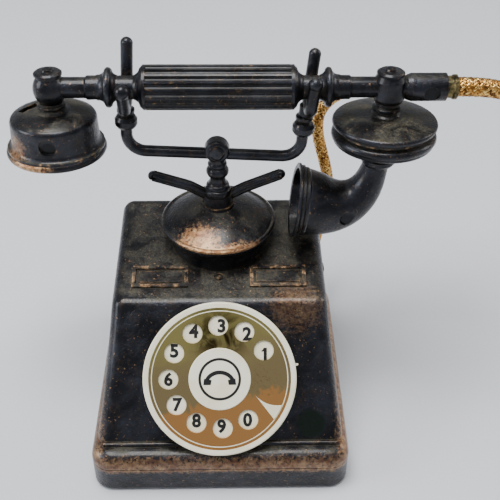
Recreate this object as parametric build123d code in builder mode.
from build123d import *
import os
from math import cos, pi, radians, sin, tan

# A desk miniature of a cradle telephone, in millimetres. The origin is the centre of the base's
# underside, +X runs along the handset to its cord end, +Y to the back and +Z up.

# ---- Base ----
base_width = 44.0
base_depth = 44.9
base_corner = 3.5
tray_height = 5.5
seam = 0.15
flange_top = 8.3
flange_round = 2.3
wall = 1.5
face_foot_y = -19.1
crease_y = -4.0
crease_z = 27.2
back_top_y = 20.9
back_top_z = 31.8
back_foot_y = 21.6
foot_half_width = 21.0
middle_half_width = 19.2
top_half_width = 18.0
middle_z = 19.5
body_round = 2.2

# ---- Screws under the base ----
screw_x = 17.0
screw_front_y = -14.4
screw_back_y = 18.0
screw_radius = 0.8
screw_head_radius = 1.6
screw_head_height = 1.0
screw_recess = 1.2
post_radius = 2.2

# ---- Dial ----
dial_radius = 12.85
dial_foot_y = -12.0
dial_gap = 1.7
dial_thickness = 0.8
dial_rim_width = 0.95
dial_rim_height = 0.4
plate_thickness = 0.3
plate_radius = 11.3
trim_inner = 11.45
trim_outer = 11.9
hole_circle = 8.58
hole_circle_rise = 0.33
hole_radius = 1.68
hole_pitch = 30.27
first_hole = 30.8
centre_radius = 5.2
spindle_radius = 1.5
running_fit = 0.05
boss_radius = 3.2

# ---- Stack on top of the base ----
stack_x = -0.2
cradle_y = 11.0
foot_radius = 8.6
dome_radius = 10.13
dome_base_z = 33.0
dome_top_z = 36.6
collar_z = 37.4
wing_hub_height = 1.8
wing_width = 1.7
bead_radius = 1.95
pillar_foot_radius = 2.3
bolt_radius = 1.0
bolt_clearance = 0.15
spigot_radius = 1.5
boss_z = 48.0
yoke_boss_radius = 2.1
yoke_tilt = 2.9
yoke_drop = 0.8
yoke_tube_radius = 0.98
yoke_bend = 3.2
post_left = -15.05
post_right = 14.1
fork_base = 3.9
prong_radius = 1.0

# ---- Handset ----
handset_x = 0.25
handset_z = 59.65
handset_pitch = 4.45
handset_roll = 0.1
neck_radius = 1.9
core_tip_radius = 1.2
core_tip_end = 20.0
grip_half = 12.5
grip_radius = 3.6
flute_count = 18
flute_radius = 0.46
ferrule_start = 16.2
ferrule_end = 19.3
ferrule_radius = 3.2
step_radius = 1.92
arm_radius = 1.68
receiver_x = 26.9
transmitter_x = 27.4
hub_radius = 2.6
hub_top = 2.2
hub_bottom = -2.4
rivet_radius = 0.8
socket_radius = 2.25
socket_end = 36.4
cord_end = 38.2

# ---- Cord ----
cord_diameter = 2.4
bush_x = 18.6
bush_z = 12.2
bush_flange_y = 21.65
bush_face_y = 23.0


def turned(corners, plane, about_x=False, rounding=0.0):
    """A solid of revolution from its half outline, about the plane's own X or Y axis."""
    with BuildPart() as shape:
        with BuildSketch(plane) as outline:
            with BuildLine():
                Polyline(*corners, close=True)
            make_face()
            if rounding:
                off_axis = [v for v in outline.vertices() if (v.Y if about_x else v.X) > 0.01]
                fillet(off_axis, radius=rounding)
        revolve(axis=Axis(plane.origin, plane.x_dir if about_x else plane.y_dir))
    return shape.part


def shifted(plane, x, y=0.0):
    """The same plane with its origin moved along its own axes."""
    return Plane(origin=plane.from_local_coords((x, y, 0)), x_dir=plane.x_dir, z_dir=plane.z_dir)


def tapered_body(inset, floor_z):
    """The body above the plinth: a sloping front, a gently rising top and sides that flare out."""
    slope = (crease_y - face_foot_y) / (crease_z - flange_top)
    front_y = face_foot_y - (flange_top - floor_z) * slope
    with BuildPart() as body:
        with BuildSketch(Plane.YZ):
            with BuildLine():
                Polyline(
                    (front_y, floor_z),
                    (crease_y, crease_z),
                    (back_top_y, back_top_z),
                    (back_foot_y, floor_z),
                    close=True,
                )
            make_face()
            if inset:
                offset(amount=-inset)
        extrude(amount=base_width, both=True)
        with BuildSketch(Plane.XZ):
            with BuildLine():
                foot_right = (foot_half_width, flange_top)
                foot_left = (-foot_half_width, flange_top)
                top_right = (top_half_width, back_top_z + 1)
                top_left = (-top_half_width, back_top_z + 1)
                ThreePointArc(foot_right, (middle_half_width, middle_z), top_right)
                Line(top_right, top_left)
                ThreePointArc(top_left, (-middle_half_width, middle_z), foot_left)
                Polyline(
                    foot_left,
                    (-foot_half_width, floor_z - 1),
                    (foot_half_width, floor_z - 1),
                    foot_right,
                )
            make_face()
            if inset:
                offset(amount=-inset)
        extrude(amount=base_depth, both=True, mode=Mode.INTERSECT)
        upper_edges = body.edges().filter_by(lambda e: e.center().Z > floor_z + inset + 0.5)
        fillet(upper_edges, radius=body_round - inset / 2)
    return body.part


face_rise = crease_z - flange_top
face_run = crease_y - face_foot_y
face_length = (face_rise**2 + face_run**2) ** 0.5
dial_foot_z = flange_top + (dial_foot_y - face_foot_y) * face_rise / face_run
dial_plane = Plane(
    origin=(0, dial_foot_y, dial_foot_z),
    x_dir=(1, 0, 0),
    z_dir=(0, -face_rise / face_length, face_run / face_length),
)
top_plane = Plane(
    origin=(0, crease_y, crease_z),
    x_dir=(1, 0, 0),
    z_dir=(0, crease_z - back_top_z, back_top_y - crease_y),
)
stack_side = Plane(origin=(stack_x, cradle_y, 0), x_dir=(1, 0, 0), z_dir=(0, -1, 0))
tilt = radians(yoke_tilt)
cradle_side = Plane(
    origin=(stack_x, cradle_y, boss_z), x_dir=(cos(tilt), 0, -sin(tilt)), z_dir=(0, -1, 0)
)
roll = radians(handset_roll)
pitch = radians(handset_pitch)
handset_side = Plane(
    origin=(handset_x, cradle_y, handset_z),
    x_dir=(cos(roll), 0, -sin(roll)),
    z_dir=(sin(pitch) * sin(roll), -cos(pitch), sin(pitch) * cos(roll)),
)
screw_spots = [(x, y) for x in (-screw_x, screw_x) for y in (screw_front_y, screw_back_y)]

# ======== Base housing: a hollow casting, open underneath ========
with BuildPart() as housing_shape:
    add(tapered_body(0, flange_top - 1.5))
    with BuildPart(mode=Mode.PRIVATE) as flange:
        with BuildSketch(Plane.XY.offset(tray_height + seam)):
            RectangleRounded(base_width, base_depth, base_corner)
        extrude(amount=flange_top - tray_height - seam)
        fillet(flange.faces().sort_by(Axis.Z)[-1].edges(), radius=flange_round)
    add(flange.part)

with BuildPart() as screw_posts:
    with BuildSketch(Plane.XY.offset(tray_height + seam)):
        with Locations(*screw_spots):
            Circle(post_radius)
    extrude(amount=7)
    add(housing_shape.part, mode=Mode.INTERSECT)

with BuildPart() as base_housing:
    add(housing_shape.part)
    add(tapered_body(wall, tray_height - wall - 0.5), mode=Mode.SUBTRACT)
    add(screw_posts.part)
    with BuildSketch(Plane.XY.offset(tray_height + seam)):
        with Locations(*screw_spots):
            Circle(screw_radius)
    extrude(amount=5, mode=Mode.SUBTRACT)
    # The dial turns in a boss that stands out of the sloping face and runs on inside it.
    with BuildSketch(dial_plane.offset(-3.2)):
        Circle(boss_radius)
    extrude(amount=3.2 + dial_gap - 0.15)
    with BuildSketch(dial_plane.offset(-4)):
        Circle(spindle_radius + running_fit)
    extrude(amount=8, mode=Mode.SUBTRACT)
    # The stack's bolt passes through a pad under the top.
    with BuildSketch(Plane.XY.offset(26.6)):
        with Locations((stack_x, cradle_y)):
            Circle(3.0)
    extrude(amount=2.4)
    with BuildSketch(Plane.XY.offset(26)):
        with Locations((stack_x, cradle_y)):
            Circle(bolt_radius + bolt_clearance)
    extrude(amount=5, mode=Mode.SUBTRACT)
    # The cord's bush sits in a hole in the back wall.
    with BuildSketch(Plane.XZ.offset(-18)):
        with Locations((bush_x, bush_z)):
            Circle(1.6)
    extrude(amount=-6, mode=Mode.SUBTRACT)
    # A raised frame with a raised card inside it, on each side of the top, near its front.
    with BuildSketch(top_plane):
        with Locations((-10.3, 5.25), (10.1, 5.25)):
            Rectangle(9.7, 4.6)
            Rectangle(8.5, 3.4, mode=Mode.SUBTRACT)
    extrude(amount=0.4)
    with BuildSketch(top_plane):
        with Locations((-10.3, 5.25), (10.1, 5.25)):
            Rectangle(7.5, 2.4)
    extrude(amount=0.18)
    # A small round stud in a dimple between the frames.
    with BuildSketch(top_plane.offset(-0.3)):
        with Locations((-0.1, 5.2)):
            Circle(0.85)
            Circle(0.42, mode=Mode.SUBTRACT)
    extrude(amount=1, mode=Mode.SUBTRACT)
    # A bead runs along the foot of the sloping face.
    with BuildSketch(Plane.YZ.offset(-foot_half_width + 1.2)):
        with Locations((face_foot_y - 0.15, flange_top + 0.1)):
            Circle(0.45)
    extrude(amount=2 * foot_half_width - 2.4)

# ======== Base tray: the lower band of the plinth, screwed on from below ========
with BuildPart() as base_tray:
    with BuildSketch():
        RectangleRounded(base_width, base_depth, base_corner)
    extrude(amount=tray_height)
    with BuildSketch(Plane.XY.offset(wall)):
        RectangleRounded(base_width - 2 * wall, base_depth - 2 * wall, base_corner - wall)
    extrude(amount=tray_height, mode=Mode.SUBTRACT)
    fillet(base_tray.faces().sort_by(Axis.Z)[0].edges(), radius=0.9)
    with BuildSketch(Plane.XY.offset(wall)):
        with Locations(*screw_spots):
            Circle(post_radius + 0.3)
    extrude(amount=tray_height - wall)
    with BuildSketch():
        with Locations(*screw_spots):
            Circle(screw_radius + running_fit)
    extrude(amount=tray_height, mode=Mode.SUBTRACT)
    with BuildSketch():
        with Locations(*screw_spots):
            Circle(screw_head_radius + 0.1)
    extrude(amount=screw_recess, mode=Mode.SUBTRACT)

with BuildPart() as tray_screws:
    with BuildSketch(Plane.XY.offset(screw_recess - screw_head_height)):
        with Locations(*screw_spots):
            Circle(screw_head_radius)
    extrude(amount=screw_head_height)
    with BuildSketch(Plane.XY.offset(screw_recess - 0.01)):
        with Locations(*screw_spots):
            Circle(screw_radius)
    extrude(amount=8.4)
    with BuildSketch(Plane.XY.offset(screw_recess - screw_head_height)):
        with Locations(*screw_spots):
            Rectangle(2.2, 0.4)
            Rectangle(0.4, 2.2)
    extrude(amount=0.5, mode=Mode.SUBTRACT)

# ======== Stack on the top: pedestal, dome, wings, pillar, yoke, forks ========
bore = bolt_radius + bolt_clearance
with BuildPart() as bell_pedestal:
    add(
        turned(
            [
                (bore, 26.5),
                (foot_radius, 26.5),
                (foot_radius, 30.4),
                (foot_radius + 0.25, 31.5),
                (foot_radius + 0.9, 32.4),
                (foot_radius + 0.9, dome_base_z),
                (bore, dome_base_z),
            ],
            stack_side,
        )
    )
    split(bisect_by=top_plane, keep=Keep.TOP)

with BuildPart() as bell_dome:
    with BuildSketch(stack_side):
        with BuildLine():
            Polyline(
                (3.3, dome_top_z),
                (2.85, dome_top_z + 0.1),
                (2.85, collar_z),
                (spigot_radius, collar_z),
                (spigot_radius, collar_z - 1.2),
                (bore, collar_z - 1.2),
                (bore, dome_base_z),
                (dome_radius - 0.35, dome_base_z),
                (dome_radius, dome_base_z + 0.35),
                (dome_radius, dome_base_z + 0.7),
                (dome_radius - 0.3, dome_base_z + 0.95),
                (dome_radius - 0.7, dome_base_z + 0.85),
            )
            ThreePointArc(
                (dome_radius - 0.7, dome_base_z + 0.85), (7.0, 35.25), (3.3, dome_top_z)
            )
        make_face()
    revolve(axis=Axis(stack_side.origin, stack_side.y_dir))

hub_top_z = collar_z + wing_hub_height
boss_half_length = 1.45
boss_plane = Plane(origin=(stack_x, cradle_y, boss_z), x_dir=(1, 0, 0), z_dir=(0, 0, 1))
with BuildPart() as carry_wings:
    with BuildSketch(Plane.XY.offset(collar_z)):
        with Locations((stack_x, cradle_y)):
            Circle(2.55)
    extrude(amount=wing_hub_height)
    for side, bend, tip in ((-1, (5.1, 40.6), (11.3, 42.75)), (1, (4.5, 40.3), (10.6, 42.95))):
        with BuildLine(Plane.XZ.offset(-cradle_y)) as bar_line:
            FilletPolyline(
                (side * 1.2 + stack_x, collar_z + 0.9),
                (side * bend[0], bend[1]),
                (side * tip[0], tip[1]),
                radius=2.5,
            )
        with BuildSketch(Plane(origin=bar_line.line @ 0, z_dir=bar_line.line % 0)):
            RectangleRounded(wing_width, wing_width, 0.55)
            with Locations((0.88, 0), (-0.88, 0), (0, 0.88), (0, -0.88)):
                Circle(0.24, mode=Mode.SUBTRACT)
        sweep()
        with Locations(bar_line.line @ 1):
            Sphere(wing_width / 2)
    # The bars stop flush with the hub's two faces, and the pillar's spigot passes through it.
    split(bisect_by=Plane.XY.offset(collar_z), keep=Keep.TOP)
    for radius, low in ((spigot_radius, collar_z - 1), (pillar_foot_radius + 0.02, hub_top_z)):
        with BuildSketch(Plane.XY.offset(low)):
            with Locations((stack_x, cradle_y)):
                Circle(radius)
        extrude(amount=4, mode=Mode.SUBTRACT)

with BuildPart() as pillar:
    with BuildSketch(stack_side):
        with BuildLine():
            Polyline(
                (0, collar_z - 1.2),
                (spigot_radius, collar_z - 1.2),
                (spigot_radius, hub_top_z),
                (pillar_foot_radius, hub_top_z),
                (pillar_foot_radius, 39.6),
            )
            # Two flat rings on the tapering skirt, a waist, a full bead and a small one.
            ThreePointArc((pillar_foot_radius, 39.6), (2.25, 40.1), (1.95, 40.4))
            ThreePointArc((1.95, 40.4), (2.0, 40.9), (1.7, 41.3))
            ThreePointArc((1.7, 41.3), (1.38, 42.1), (1.4, 42.8))
            ThreePointArc((1.4, 42.8), (bead_radius, 43.75), (1.45, 44.7))
            ThreePointArc((1.45, 44.7), (1.65, 45.2), (1.4, 45.7))
            Polyline((1.4, 45.7), (1.4, boss_z - 1.6), (0, boss_z - 1.6))
            Line((0, boss_z - 1.6), (0, collar_z - 1.2))
        make_face()
    revolve(axis=Axis(stack_side.origin, stack_side.y_dir))
    add(
        turned(
            [
                (0, -boss_half_length),
                (yoke_boss_radius, -boss_half_length),
                (yoke_boss_radius, boss_half_length),
                (0, boss_half_length),
            ],
            boss_plane,
            rounding=0.75,
        )
    )
    with BuildSketch(Plane(origin=shifted(cradle_side, -4, -yoke_drop).origin, z_dir=cradle_side.x_dir)):
        Circle(yoke_tube_radius + 0.01)
    extrude(amount=8, mode=Mode.SUBTRACT)
    with BuildSketch(Plane.XY.offset(collar_z - 1.2)):
        with Locations((stack_x, cradle_y)):
            Circle(bolt_radius)
    extrude(amount=6.8, mode=Mode.SUBTRACT)

with BuildPart() as cradle_bolt:
    with BuildSketch(Plane.XY.offset(24.9)):
        with Locations((stack_x, cradle_y)):
            Circle(1.9)
    extrude(amount=1.2)
    with BuildSketch(Plane.XY.offset(26.0)):
        with Locations((stack_x, cradle_y)):
            Circle(bolt_radius)
    extrude(amount=collar_z - 1.2 + 6.6 - 26.0)
    with BuildSketch(Plane.XY.offset(24.9)):
        with Locations((stack_x, cradle_y)):
            Rectangle(4, 0.5)
    extrude(amount=0.6, mode=Mode.SUBTRACT)

with BuildPart() as cradle_washer:
    with BuildSketch(Plane.XY.offset(26.1)):
        with Locations((stack_x, cradle_y)):
            Circle(2.8)
            Circle(bolt_radius + 0.1, mode=Mode.SUBTRACT)
    extrude(amount=0.5)

with BuildPart() as cradle_yoke:
    with BuildLine(cradle_side) as yoke_line:
        FilletPolyline(
            (post_left, fork_base + 2.0),
            (post_left, -yoke_drop),
            (post_right, -yoke_drop),
            (post_right, fork_base + 2.0),
            radius=yoke_bend,
        )
    with BuildSketch(Plane(origin=yoke_line.line @ 0, z_dir=yoke_line.line % 0)):
        Circle(yoke_tube_radius)
    sweep()


def fork(post_x, prongs, tip_radius):
    """A collar on the yoke's post, a smaller ring, and a U of round bar that holds the handset."""
    base = shifted(cradle_side, post_x)
    lift = handset_z - sin(roll) * post_x - base.from_local_coords((0, fork_base, 0)).Z
    seat_height = fork_base + lift
    seat = base.from_local_coords((0, seat_height, 0))
    across = Plane(origin=seat, x_dir=(0, 1, 0), z_dir=cradle_side.x_dir)
    stem_top = seat_height + prongs[1][1]
    with BuildPart() as piece:
        add(
            turned(
                [
                    (0, fork_base),
                    (1.55, fork_base),
                    (1.85, fork_base + 0.5),
                    (1.85, fork_base + 1.4),
                    (1.5, fork_base + 2.0),
                    (1.05, fork_base + 2.3),
                    (1.45, fork_base + 2.75),
                    (1.45, fork_base + 3.2),
                    (1.0, fork_base + 3.5),
                    (1.0, stem_top),
                    (0, stem_top),
                ],
                base,
            )
        )
        with BuildLine(across) as bar_line:
            FilletPolyline(*prongs, radius=1.5)
        with BuildSketch(Plane(origin=bar_line.line @ 0, z_dir=bar_line.line % 0)):
            Circle(prong_radius)
        sweep()
        with Locations(bar_line.line @ 0):
            Sphere(tip_radius)
        with Locations(bar_line.line @ 1):
            Sphere(prong_radius + 0.02)
        with BuildSketch(Plane(origin=base.from_local_coords((0, fork_base, 0)), z_dir=base.y_dir)):
            Circle(yoke_tube_radius)
        extrude(amount=2.0, mode=Mode.SUBTRACT)
    return piece


# Each U's corners are (along Y, up, along X) from the middle of the neck it carries.
left_bar = [(-4.8, 1.7, 0), (-2.2, -3.2, 0), (2.25, -3.2, 0), (4.9, 5.3, 0)]
right_bar = [(-3.5, 2.3, 0.8), (-3.1, -3.2, 0.5), (2.3, -3.2, 0.5), (4.2, 3.7, 1.1)]
left_fork = fork(post_left, left_bar, 1.2)
right_fork = fork(post_right, right_bar, 1.15)

with BuildPart() as yoke_pin:
    add(
        turned(
            [(0, 0), (1.25, 0), (1.25, 0.2), (0.85, 0.5), (0, 0.6)],
            shifted(boss_plane, 0, -boss_half_length).rotated((0, 0, 180)),
        )
    )

# ======== Dial: one turning group on a spindle through the sloping face ========
back = dial_plane.offset(dial_gap)
hole_angles = [first_hole + hole_pitch * i for i in range(10)]
hole_spots = [
    (hole_circle * cos(radians(angle)), hole_circle * sin(radians(angle)) + hole_circle_rise)
    for angle in hole_angles
]

# The finger stop is horn-shaped, its tip inwards and its foot on the trim ring.
with BuildSketch() as stop_outline:
    with BuildLine():
        Polyline((10.9, -4.3), (9.6, -7.6), (5.9, -2.7))
        ThreePointArc((5.9, -2.7), (8.3, -4.3), (10.9, -4.3))
    make_face()
    Circle(plate_radius, mode=Mode.INTERSECT)


with BuildPart() as dial_disc:
    with BuildSketch(back):
        Circle(dial_radius)
    extrude(amount=dial_thickness)
    with BuildSketch(back.offset(dial_thickness)):
        Circle(dial_radius)
        Circle(dial_radius - dial_rim_width, mode=Mode.SUBTRACT)
    extrude(amount=dial_rim_height)
    with BuildSketch(back.offset(dial_thickness)):
        Circle(trim_inner)
        Circle(plate_radius, mode=Mode.SUBTRACT)
    extrude(amount=plate_thickness)
    outer_edges = dial_disc.edges().filter_by(GeomType.CIRCLE).filter_by(lambda e: e.radius > 12.8)
    fillet(outer_edges, radius=0.25)
    with BuildSketch(back):
        Circle(spindle_radius)
    extrude(amount=dial_thickness, mode=Mode.SUBTRACT)

with BuildPart() as dial_plate:
    with BuildSketch(back.offset(dial_thickness)):
        Circle(plate_radius)
        Circle(centre_radius, mode=Mode.SUBTRACT)
        with Locations(*hole_spots):
            Circle(hole_radius, mode=Mode.SUBTRACT)
        add(stop_outline.sketch, mode=Mode.SUBTRACT)
    extrude(amount=plate_thickness)

with BuildPart() as dial_trim_ring:
    with BuildSketch(back.offset(dial_thickness)):
        Circle(trim_outer)
        Circle(trim_inner, mode=Mode.SUBTRACT)
    extrude(amount=plate_thickness)

with BuildPart() as dial_centre:
    with BuildSketch(back.offset(dial_thickness)):
        Circle(centre_radius)
    extrude(amount=plate_thickness + 0.15)
    fillet(dial_centre.faces().sort_by(Axis.Z)[-1].edges(), radius=0.12)
    with BuildSketch(back.offset(dial_thickness)):
        Circle(2.4)
    extrude(amount=0.2, mode=Mode.SUBTRACT)

with BuildPart() as dial_stop:
    with BuildSketch(back.offset(dial_thickness)):
        add(stop_outline.sketch)
    extrude(amount=plate_thickness + 0.1)

with BuildPart() as dial_spindle:
    with BuildSketch(back.offset(dial_thickness)):
        Circle(2.4)
    extrude(amount=0.2)
    with BuildSketch(dial_plane.offset(-4.6)):
        Circle(spindle_radius)
    extrude(amount=4.6 + dial_gap + dial_thickness)

with BuildPart() as dial_washer:
    with BuildSketch(dial_plane.offset(-3.65)):
        Circle(2.9)
        Circle(spindle_radius, mode=Mode.SUBTRACT)
    extrude(amount=0.4)

with BuildPart() as dial_clip:
    with BuildSketch(dial_plane.offset(-4.15)):
        Circle(2.5)
        Circle(spindle_radius, mode=Mode.SUBTRACT)
    extrude(amount=0.5)

# ======== Handset ========
with BuildPart() as handset_core:
    add(
        turned(
            [
                (-core_tip_end, 0),
                (-core_tip_end, core_tip_radius),
                (-ferrule_start, core_tip_radius),
                (-ferrule_start, neck_radius),
                (ferrule_start, neck_radius),
                (ferrule_start, core_tip_radius),
                (core_tip_end, core_tip_radius),
                (core_tip_end, 0),
            ],
            handset_side,
            about_x=True,
        )
    )

with BuildPart() as grip_sleeve:
    with BuildSketch(handset_side):
        with BuildLine():
            shoulder = (grip_half, grip_radius - 0.5)
            lip = (grip_half + 1.0, neck_radius + 0.05)
            Polyline(
                (-lip[0], lip[1]),
                (-lip[0], neck_radius),
                (lip[0], neck_radius),
                (lip[0], lip[1]),
            )
            ThreePointArc(lip, (grip_half + 0.3, 2.45), shoulder)
            Polyline(
                shoulder,
                (grip_half - 0.5, grip_radius),
                (-grip_half + 0.5, grip_radius),
                (-shoulder[0], shoulder[1]),
            )
            ThreePointArc((-shoulder[0], shoulder[1]), (-grip_half - 0.3, 2.45), (-lip[0], lip[1]))
        make_face()
    revolve(axis=Axis(handset_side.origin, handset_side.x_dir))
    with BuildSketch(Plane(origin=shifted(handset_side, -11.5).origin, z_dir=handset_side.x_dir)):
        with PolarLocations(grip_radius + 0.08, flute_count):
            Circle(flute_radius)
    extrude(amount=23, mode=Mode.SUBTRACT)


def ferrule(direction):
    """A turned collar between the grip's neck and the arm: a thin rim with an ogee on each side."""
    with BuildPart() as piece:
        with BuildSketch(handset_side):
            with BuildLine():
                inner = ferrule_start * direction
                outer = ferrule_end * direction
                Polyline(
                    (inner, 2.0),
                    (inner, core_tip_radius),
                    (outer, core_tip_radius),
                    (outer, 2.05),
                )
                ThreePointArc(
                    (outer, 2.05),
                    (outer - 0.95 * direction, 2.35),
                    (outer - 1.3 * direction, ferrule_radius - 0.25),
                )
                ThreePointArc(
                    (outer - 1.3 * direction, ferrule_radius - 0.25),
                    (inner + 1.35 * direction, ferrule_radius),
                    (inner + 0.8 * direction, ferrule_radius - 0.35),
                )
                ThreePointArc(
                    (inner + 0.8 * direction, ferrule_radius - 0.35),
                    (inner + 0.5 * direction, 2.3),
                    (inner, 2.0),
                )
            make_face()
        revolve(axis=Axis(handset_side.origin, handset_side.x_dir))
    return piece


left_ferrule = ferrule(-1)
right_ferrule = ferrule(1)

with BuildPart() as receiver_arm:
    add(
        turned(
            [
                (-ferrule_end, core_tip_radius),
                (-ferrule_end, step_radius),
                (-20.9, step_radius),
                (-21.2, arm_radius),
                (-receiver_x, arm_radius),
                (-receiver_x, 0),
                (-core_tip_end, 0),
                (-core_tip_end, core_tip_radius),
            ],
            handset_side,
            about_x=True,
        )
    )
    with BuildSketch(shifted(handset_side, -receiver_x)):
        with BuildLine():
            Line((0, hub_bottom), (1.75, hub_bottom))
            ThreePointArc((1.75, hub_bottom), (hub_radius + 0.05, -0.3), (1.95, hub_top - 0.4))
            Polyline((1.95, hub_top - 0.4), (1.95, hub_top), (0, hub_top), (0, hub_bottom))
        make_face()
    revolve(axis=Axis(shifted(handset_side, -receiver_x).origin, handset_side.y_dir))
    with BuildSketch(Plane(origin=shifted(handset_side, -receiver_x, -5).origin, z_dir=handset_side.y_dir)):
        Circle(rivet_radius)
    extrude(amount=10, mode=Mode.SUBTRACT)

with BuildPart() as transmitter_arm:
    add(
        turned(
            [
                (ferrule_end, core_tip_radius),
                (ferrule_end, step_radius),
                (20.9, step_radius),
                (21.2, arm_radius),
                (29.6, arm_radius),
                (30.1, socket_radius - 0.25),
                (30.8, socket_radius),
                (socket_end, socket_radius),
                (socket_end, 1.3),
                (socket_end - 1.8, 1.3),
                (socket_end - 1.8, 0),
                (core_tip_end, 0),
                (core_tip_end, core_tip_radius),
            ],
            handset_side,
            about_x=True,
        )
    )
    add(
        turned(
            [
                (0, hub_bottom),
                (2.2, hub_bottom),
                (hub_radius, -1.7),
                (hub_radius, 1.3),
                (2.1, hub_top),
                (0, hub_top),
            ],
            shifted(handset_side, transmitter_x),
        )
    )
    with BuildSketch(
        Plane(origin=shifted(handset_side, transmitter_x, -5).origin, z_dir=handset_side.y_dir)
    ):
        Circle(rivet_radius)
    extrude(amount=10, mode=Mode.SUBTRACT)
    # A round moulder's mark in the socket's front.
    with BuildSketch(shifted(handset_side, 33.9, -0.4).offset(socket_radius - 0.6)):
        Circle(1.3)
    extrude(amount=1, mode=Mode.SUBTRACT)


def rivet(x):
    """A rivet down through the hub into the head below it, with a disc and a button on top."""
    return turned(
        [
            (0, hub_bottom - 2.2),
            (rivet_radius, hub_bottom - 2.2),
            (rivet_radius, hub_top),
            (2.25, hub_top),
            (2.25, hub_top + 0.35),
            (1.9, hub_top + 0.6),
            (1.0, hub_top + 0.65),
            (0.85, hub_top + 1.0),
            (0.4, hub_top + 1.2),
            (0, hub_top + 1.2),
        ],
        shifted(handset_side, x),
    )


with BuildPart() as receiver_rivet:
    add(rivet(-receiver_x))

with BuildPart() as transmitter_rivet:
    add(rivet(transmitter_x))

receiver_side = shifted(handset_side, -receiver_x)
with BuildPart() as receiver_case:
    with BuildSketch(receiver_side):
        with BuildLine():
            Polyline(
                (rivet_radius, hub_bottom),
                (1.9, hub_bottom),
                (1.9, -2.65),
                (2.3, -2.85),
                (2.3, -3.1),
                (2.0, -3.3),
                (2.4, -3.55),
                (3.0, -3.75),
            )
            ThreePointArc((3.0, -3.75), (5.2, -4.05), (6.45, -4.6))
            ThreePointArc((6.45, -4.6), (6.9, -4.95), (7.05, -5.5))
            Line((7.05, -5.5), (7.2, -9.0))
            ThreePointArc((7.2, -9.0), (7.4, -9.45), (7.95, -9.7))
            Polyline(
                (7.95, -9.7),
                (7.95, -10.1),
                (6.3, -10.1),
                (6.05, -5.7),
                (3.0, -5.0),
                (rivet_radius, -5.0),
                (rivet_radius, hub_bottom),
            )
        make_face()
    revolve(axis=Axis(receiver_side.origin, receiver_side.y_dir))
    # A round moulder's mark in the drum's front.
    with BuildSketch(shifted(receiver_side, 0, -7.1).offset(6.55)):
        Circle(1.4)
    extrude(amount=3, mode=Mode.SUBTRACT)
    # A slanting slot through the top, left of the neck, where the casting did not fill.
    slot_plane = Plane(
        origin=shifted(receiver_side, 0, -6).origin, x_dir=receiver_side.x_dir, z_dir=receiver_side.y_dir
    )
    with BuildSketch(slot_plane):
        with Locations(Location((-3.9, 0.7), 45)):
            Rectangle(3.4, 1.35)
    extrude(amount=3.5, mode=Mode.SUBTRACT)

with BuildPart() as receiver_cap:
    with BuildSketch(receiver_side):
        with BuildLine():
            Polyline(
                (6.2, -9.4),
                (6.2, -10.1),
                (7.95, -10.1),
            )
            ThreePointArc((7.95, -10.1), (8.2, -10.7), (7.75, -11.3))
            Line((7.75, -11.3), (7.0, -11.5))
            ThreePointArc((7.0, -11.5), (4.0, -10.75), (1.3, -10.6))
            Polyline((1.3, -10.6), (1.3, -9.4), (6.2, -9.4))
        make_face()
    revolve(axis=Axis(receiver_side.origin, receiver_side.y_dir))

transmitter_side = shifted(handset_side, transmitter_x - 0.2)
with BuildPart() as transmitter_case:
    with BuildSketch(transmitter_side):
        with BuildLine():
            Polyline(
                (0, -7.2),
                (0, hub_bottom - 2.2),
                (rivet_radius + 0.25, hub_bottom - 2.2),
                (rivet_radius + 0.25, hub_bottom),
                (1.9, hub_bottom),
                (1.9, -3.0),
                (2.35, -3.3),
                (2.35, -3.8),
                (1.9, -4.1),
                (2.4, -4.6),
            )
            ThreePointArc((2.4, -4.6), (5.6, -4.95), (8.3, -5.6))
            ThreePointArc((8.3, -5.6), (8.65, -6.0), (8.5, -6.5))
            Polyline((8.5, -6.5), (7.7, -6.9), (7.7, -7.2), (0, -7.2))
        make_face()
    revolve(axis=Axis(transmitter_side.origin, transmitter_side.y_dir))

with BuildPart() as transmitter_ring:
    with BuildSketch(transmitter_side):
        with BuildLine():
            Polyline((0, -7.2), (7.7, -7.2), (7.7, -7.35), (8.3, -7.65))
            ThreePointArc((8.3, -7.65), (8.7, -8.3), (8.4, -8.95))
            ThreePointArc((8.4, -8.95), (8.3, -9.35), (7.8, -9.6))
            ThreePointArc((7.8, -9.6), (5.4, -10.3), (2.6, -10.7))
            Polyline((2.6, -10.7), (2.3, -11.0), (0, -11.0), (0, -7.2))
        make_face()
    revolve(axis=Axis(transmitter_side.origin, transmitter_side.y_dir))

# The horn hangs from the transmitter and turns through a right angle towards the receiver.
horn_stations = [
    ((26.5, -13.4), 2.15, -97),
    ((25.9, -16.0), 2.45, -104),
    ((24.4, -19.3), 3.15, -124),
    ((21.4, -21.5), 4.3, -157),
    ((17.9, -21.9), 5.3, -183),
    ((14.9, -21.4), 5.8, -187),
]
horn_wall = 0.8
mouth_angle = radians(-187)
mouth_plane = Plane(
    origin=handset_side.from_local_coords((14.9, -21.4, 0)),
    x_dir=handset_side.z_dir,
    z_dir=handset_side.x_dir * cos(mouth_angle) + handset_side.y_dir * sin(mouth_angle),
)


def horn_shape(thinner):
    """The swept, widening tube of the horn, inside or outside."""
    with BuildPart() as tube:
        for (x, y), radius, heading in horn_stations:
            angle = radians(heading)
            direction = handset_side.x_dir * cos(angle) + handset_side.y_dir * sin(angle)
            centre = handset_side.from_local_coords((x, y, 0))
            with BuildSketch(Plane(origin=centre, x_dir=handset_side.z_dir, z_dir=direction)):
                Circle(radius - thinner)
        loft()
    return tube.part


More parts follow.
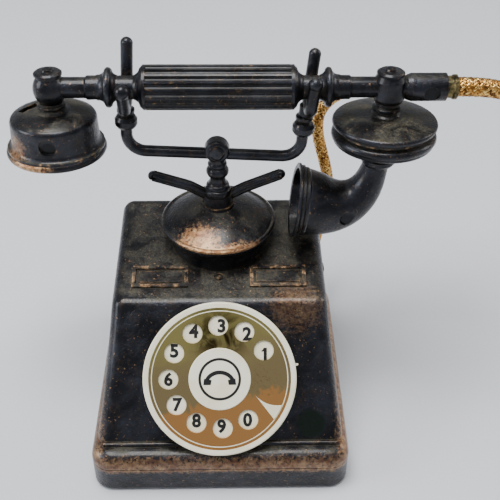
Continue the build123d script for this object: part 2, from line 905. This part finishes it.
with BuildPart() as mouthpiece_horn:
    add(horn_shape(0))
    add(horn_shape(horn_wall), mode=Mode.SUBTRACT)
    # A round moulder's mark low on the elbow's front.
    with BuildSketch(shifted(handset_side, 21.7, -22.4).offset(3.75)):
        Circle(1.35)
    extrude(amount=3, mode=Mode.SUBTRACT)

with BuildPart() as horn_neck:
    add(
        turned(
            [
                (0, -11.0),
                (2.3, -11.0),
                (2.35, -12.3),
                (2.8, -12.65),
                (2.85, -13.3),
                (2.5, -13.8),
                (0, -13.8),
            ],
            shifted(handset_side, 26.75),
        )
    )
    add(horn_shape(0), mode=Mode.SUBTRACT)

with BuildPart() as mouthpiece_rim:
    with BuildSketch(Plane(origin=mouth_plane.origin, x_dir=mouth_plane.x_dir, z_dir=mouth_plane.y_dir)):
        with BuildLine():
            Polyline(
                (5.0, 0),
                (5.8, 0),
                (6.0, -0.25),
                (6.0, -0.6),
                (5.85, -0.75),
                (6.3, -0.95),
                (6.3, -1.3),
                (6.15, -1.45),
                (6.6, -1.65),
                (6.6, -2.0),
                (6.3, -2.15),
                (5.7, -2.0),
                (5.0, 0),
            )
        make_face()
    revolve(axis=Axis(mouth_plane.origin, mouth_plane.z_dir))

with BuildPart() as cord_ferrule:
    add(
        turned(
            [
                (socket_end - 1.8, 0),
                (socket_end - 1.8, 1.3),
                (socket_end, 1.3),
                (socket_end + 0.1, 1.75),
                (socket_end + 0.9, 1.8),
                (socket_end + 1.2, 2.0),
                (cord_end - 0.1, 2.0),
                (cord_end, 1.85),
                (cord_end, 0),
            ],
            handset_side,
            about_x=True,
        )
    )

# ======== Cord and its bush in the back wall ========
with BuildPart() as cord_bush:
    with BuildSketch(Plane.XZ.offset(-18.6)):
        with Locations((bush_x, bush_z)):
            Circle(1.6)
    extrude(amount=-2.9)
    with BuildSketch(Plane.XZ.offset(-bush_flange_y)):
        with Locations((bush_x, bush_z)):
            Circle(2.3)
    extrude(amount=-(bush_face_y - bush_flange_y))
    fillet(cord_bush.edges().group_by(Axis.Y)[-1], radius=0.4)
    with BuildSketch(Plane.XZ.offset(-bush_face_y + 1.0)):
        with Locations((bush_x, bush_z)):
            Circle(cord_diameter / 2 + 0.02)
    extrude(amount=-2, mode=Mode.SUBTRACT)

cord_start = handset_side.from_local_coords((cord_end, 0, 0))
cord_lead = handset_side.from_local_coords((cord_end + 5.2, 0, 0))
route = [
    (cord_start.X, cord_start.Y, cord_start.Z),
    (cord_lead.X, cord_lead.Y, cord_lead.Z),
    (49.2, 12.3, 57.3),
    (53.0, 17.3, 54.2),
    (53.0, 23.0, 51.6),
    (48.9, 27.6, 49.9),
    (43.0, 29.3, 49.1),
    (37.0, 29.7, 48.7),
    (31.0, 30.2, 48.6),
    (25.0, 31.0, 48.5),
    (21.1, 31.9, 46.3),
    (18.8, 32.7, 42.3),
    (19.0, 33.0, 37.4),
    (20.4, 32.7, 32.5),
    (21.7, 32.5, 27.4),
    (21.8, 32.5, 22.4),
    (20.9, 32.6, 18.0),
    (19.9, 30.4, 14.2),
    (bush_x, 26.7, bush_z),
    (bush_x, bush_face_y - 1.0, bush_z),
]


def corner_radii(points):
    """The largest tangent arc at each corner of the route, and the turn there in degrees."""
    radii = []
    for a, b, c in zip(points, points[1:], points[2:]):
        into = Vector(*b) - Vector(*a)
        out = Vector(*c) - Vector(*b)
        turn = into.get_angle(out)
        radius = 0.48 * min(into.length, out.length) / tan(radians(turn / 2))
        radii.append(radius)
        print(f"cord corner {b}: turn {turn:.1f} deg, radius {radius:.1f}, run {into.length:.1f}")
    return radii


with BuildPart() as cord:
    with BuildLine() as cord_line:
        FilletPolyline(*route, radius=corner_radii(route))
    with BuildSketch(Plane(origin=cord_line.line @ 0, z_dir=cord_line.line % 0)):
        Circle(cord_diameter / 2)
    sweep()
cord_section = pi * (cord_diameter / 2) ** 2
cord_length = sum(edge.length for edge in cord_line.edges())
print("cord length", cord_length, "volume ratio", cord.part.volume / (cord_section * cord_length))

# ======== Files ========
pieces = {
    "base_housing": base_housing,
    "base_tray": base_tray,
    "tray_screws": tray_screws,
    "bell_pedestal": bell_pedestal,
    "bell_dome": bell_dome,
    "carry_wings": carry_wings,
    "pillar": pillar,
    "cradle_bolt": cradle_bolt,
    "cradle_washer": cradle_washer,
    "cradle_yoke": cradle_yoke,
    "left_fork": left_fork,
    "right_fork": right_fork,
    "yoke_pin": yoke_pin,
    "dial_disc": dial_disc,
    "dial_plate": dial_plate,
    "dial_trim_ring": dial_trim_ring,
    "dial_centre": dial_centre,
    "dial_stop": dial_stop,
    "dial_spindle": dial_spindle,
    "dial_washer": dial_washer,
    "dial_clip": dial_clip,
    "handset_core": handset_core,
    "grip_sleeve": grip_sleeve,
    "left_ferrule": left_ferrule,
    "right_ferrule": right_ferrule,
    "receiver_arm": receiver_arm,
    "transmitter_arm": transmitter_arm,
    "receiver_rivet": receiver_rivet,
    "transmitter_rivet": transmitter_rivet,
    "receiver_case": receiver_case,
    "receiver_cap": receiver_cap,
    "transmitter_case": transmitter_case,
    "transmitter_ring": transmitter_ring,
    "horn_neck": horn_neck,
    "mouthpiece_horn": mouthpiece_horn,
    "mouthpiece_rim": mouthpiece_rim,
    "cord_ferrule": cord_ferrule,
    "cord_bush": cord_bush,
    "cord": cord,
}
os.makedirs("parts", exist_ok=True)
for name, piece in pieces.items():
    piece.part.label = name
    export_step(piece.part, f"parts/{name}.step")
